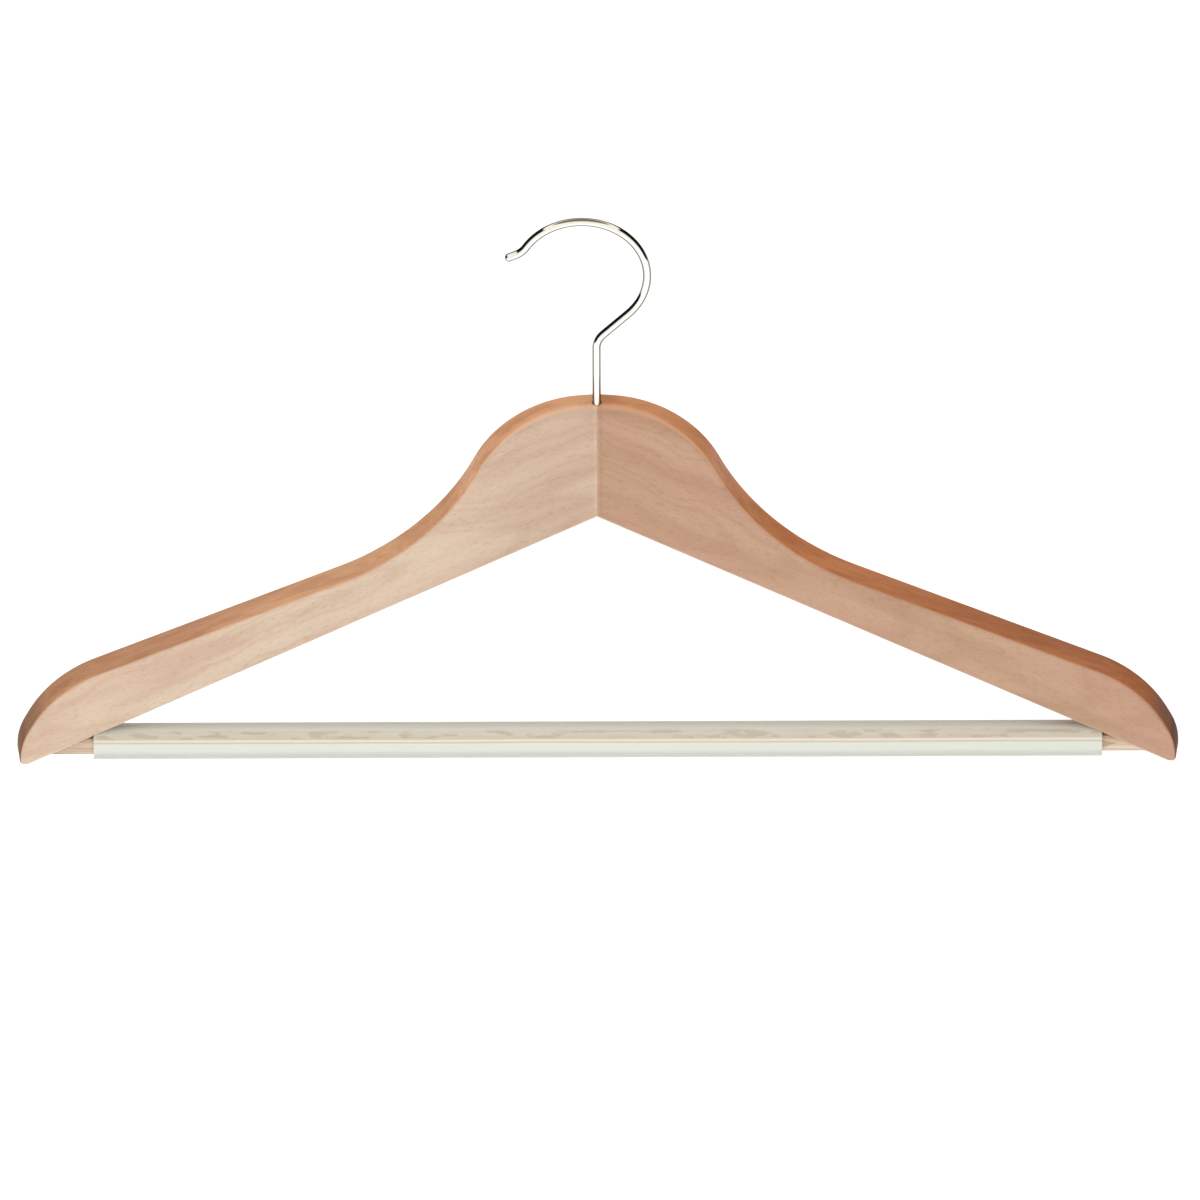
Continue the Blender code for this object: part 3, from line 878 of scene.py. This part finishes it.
def build_world():
    """Even pale surroundings for the eye; glossy surfaces mirror a room that is dark in places."""
    world = bpy.data.worlds.new("studio")
    bpy.context.scene.world = world
    n = Nodes(world)
    parts = n.add("ShaderNodeSeparateXYZ", i0=n.add("ShaderNodeTexCoord").outputs["Generated"])
    height = parts.outputs["Z"]
    aside = n.math("SUBTRACT", n.math("ABSOLUTE", parts.outputs["X"]), height)
    beside = n.fade(aside, (0.10, 0), (0.22, 1))
    behind = n.fade(n.math("ADD", parts.outputs["Y"], 0.60), (0.0, 0), (0.12, 1))
    overhead = n.fade(height, (0.74, 0), (0.84, 1))
    mirrored = n.mix(overhead, srgb(255, 252, 240), srgb(122, 116, 98))
    mirrored = n.mix(n.times(beside, behind), mirrored, grey(0.012))
    path = n.add("ShaderNodeLightPath")
    seen = n.mix(path.outputs["Is Glossy Ray"], grey(0.62), mirrored)
    seen = n.mix(path.outputs["Is Camera Ray"], seen, grey(1.05))
    surround = n.add("ShaderNodeBackground", Color=seen, Strength=1.0)
    n.add("ShaderNodeOutputWorld", Surface=surround.outputs[0])


def add_softbox(name, azimuth, elevation, distance, size, power):
    """A square soft light that looks at the middle of the hanger; angles are in degrees."""
    light = bpy.data.lights.new(name, "AREA")
    light.energy = power
    light.size = size
    lamp = bpy.data.objects.new(name, light)
    bpy.context.scene.collection.objects.link(lamp)
    turn = math.radians(azimuth)
    lift = math.radians(elevation)
    away = Vector((math.sin(turn) * math.cos(lift), -math.cos(turn) * math.cos(lift), math.sin(lift)))
    lamp.location = (cad_low + cad_high) / 2 + away * distance
    lamp.rotation_euler = away.to_track_quat("Z", "Y").to_euler()
    lamp.visible_glossy = False


def build_camera():
    """A long lens, 35 degrees above the hanger and square to its front."""
    camera = bpy.data.cameras.new("camera")
    camera.sensor_width = 36.0
    camera.lens = camera.sensor_width * VIEW_DISTANCE / (VIEW_WIDTH * (cad_high.x - cad_low.x))
    camera.clip_end = 5 * VIEW_DISTANCE
    view = bpy.data.objects.new("camera", camera)
    bpy.context.scene.collection.objects.link(view)
    away = Vector((0, -math.cos(VIEW_ELEVATION), math.sin(VIEW_ELEVATION)))
    level = away.to_track_quat("Z", "Y")
    view.location = Vector((VIEW_SHIFT, 0, VIEW_AIM_HEIGHT * cad_high.z)) + away * VIEW_DISTANCE
    view.rotation_mode = "QUATERNION"
    view.rotation_quaternion = level @ Matrix.Rotation(-VIEW_ROLL, 3, "Z").to_quaternion()
    bpy.context.scene.camera = view


# ---------------------------------------------------------------- put it together


# Colours of the two boards. A face runs from "face" to "blush" with lines of "figure", an edge from
# "edge" to "edge_streak". Near the middle, "neck" tints the face, "crown" colours the edge and
# "crown_highlight" is a painted highlight on the turn between them. "end_grain_and_shade" is the end
# grain at the tips, darkened further by painted shade, and "arris_highlight" a painted highlight along
# the lower edges. "under_floor_light" is how far the underside keeps the face's paler colour, painted
# light from the floor below, and "edge_turn_shade" how dark the painted shade on the turn to the edge
# is. "seam" holds the tones across the glued seam, by distance from it in centimetres: a pale glue line
# brightened by a painted highlight, and on the right arm painted shade beside it.
LEFT_PALETTE = {
    "face": srgb(218, 199, 175), "blush": srgb(216, 189, 167), "figure": srgb(200, 168, 144),
    "neck": srgb(243, 240, 239),
    "edge": srgb(229, 176, 135), "edge_streak": srgb(194, 140, 102), "crown": srgb(222, 163, 119),
    "crown_highlight": srgb(238, 192, 158), "arris_highlight": srgb(248, 238, 226), "under_floor_light": 0.85,
    "end_grain_and_shade": srgb(120, 80, 54), "edge_turn_shade": 0.0,
    "seam": [(0.0, grey(1.06)), (0.06, grey(1.07)), (0.10, grey(1.05)), (0.17, grey(1))],
}
RIGHT_PALETTE = {
    "face": srgb(195, 160, 132), "blush": srgb(192, 151, 128), "figure": srgb(176, 138, 111),
    "neck": srgb(255, 255, 255),
    "edge": srgb(205, 133, 82), "edge_streak": srgb(174, 105, 61), "crown": srgb(210, 147, 101),
    "crown_highlight": srgb(232, 178, 140), "arris_highlight": srgb(240, 222, 204), "under_floor_light": 0.6,
    "end_grain_and_shade": srgb(84, 48, 28), "edge_turn_shade": 0.4,
    "seam": [(0.0, grey(1.16)), (0.06, grey(1.03)), (0.13, grey(0.91)), (0.25, grey(1))],
}

left_arm = build_arm("left_arm_board", -1, beech("left_beech", -1, LEFT_PALETTE, seed=0.0))
right_arm = build_arm("right_arm_board", 1, beech("right_beech", 1, RIGHT_PALETTE, seed=0.6))
bar = build_bar(dowel_wood("bar_beech", srgb(222, 202, 178), srgb(176, 146, 118)))
cut_joints(left_arm, right_arm, bar)
sleeve = build_sleeve(clear_vinyl())
hook = build_hook(plated_wire())

for piece, body, node, slot in ((left_arm, "frame", "left_arm", "left_beech"),
                                (right_arm, "frame", "right_arm", "right_beech"),
                                (bar, "frame", "trouser_bar", "bar_beech"),
                                (sleeve, "sleeve", "bar_sleeve", "clear_vinyl"),
                                (hook, "hook", "hook", "hook_chrome")):
    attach(piece, body)
    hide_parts(node)

joint_wood = dowel_wood("joint_beech", srgb(214, 182, 146), srgb(180, 142, 108))
dress(["joint_dowel_upper", "joint_dowel_lower"], joint_wood)
dress(["bar_pin_left", "bar_pin_right", "hook_lock_pin"], brad_steel())

build_floor()
build_world()
add_softbox("front_softbox", azimuth=-12, elevation=20, distance=3.0, size=2.4, power=26.0)
add_softbox("top_softbox", azimuth=-10, elevation=74, distance=2.5, size=1.6, power=17.0)
build_camera()
bpy.context.scene.view_settings.view_transform = "Standard"
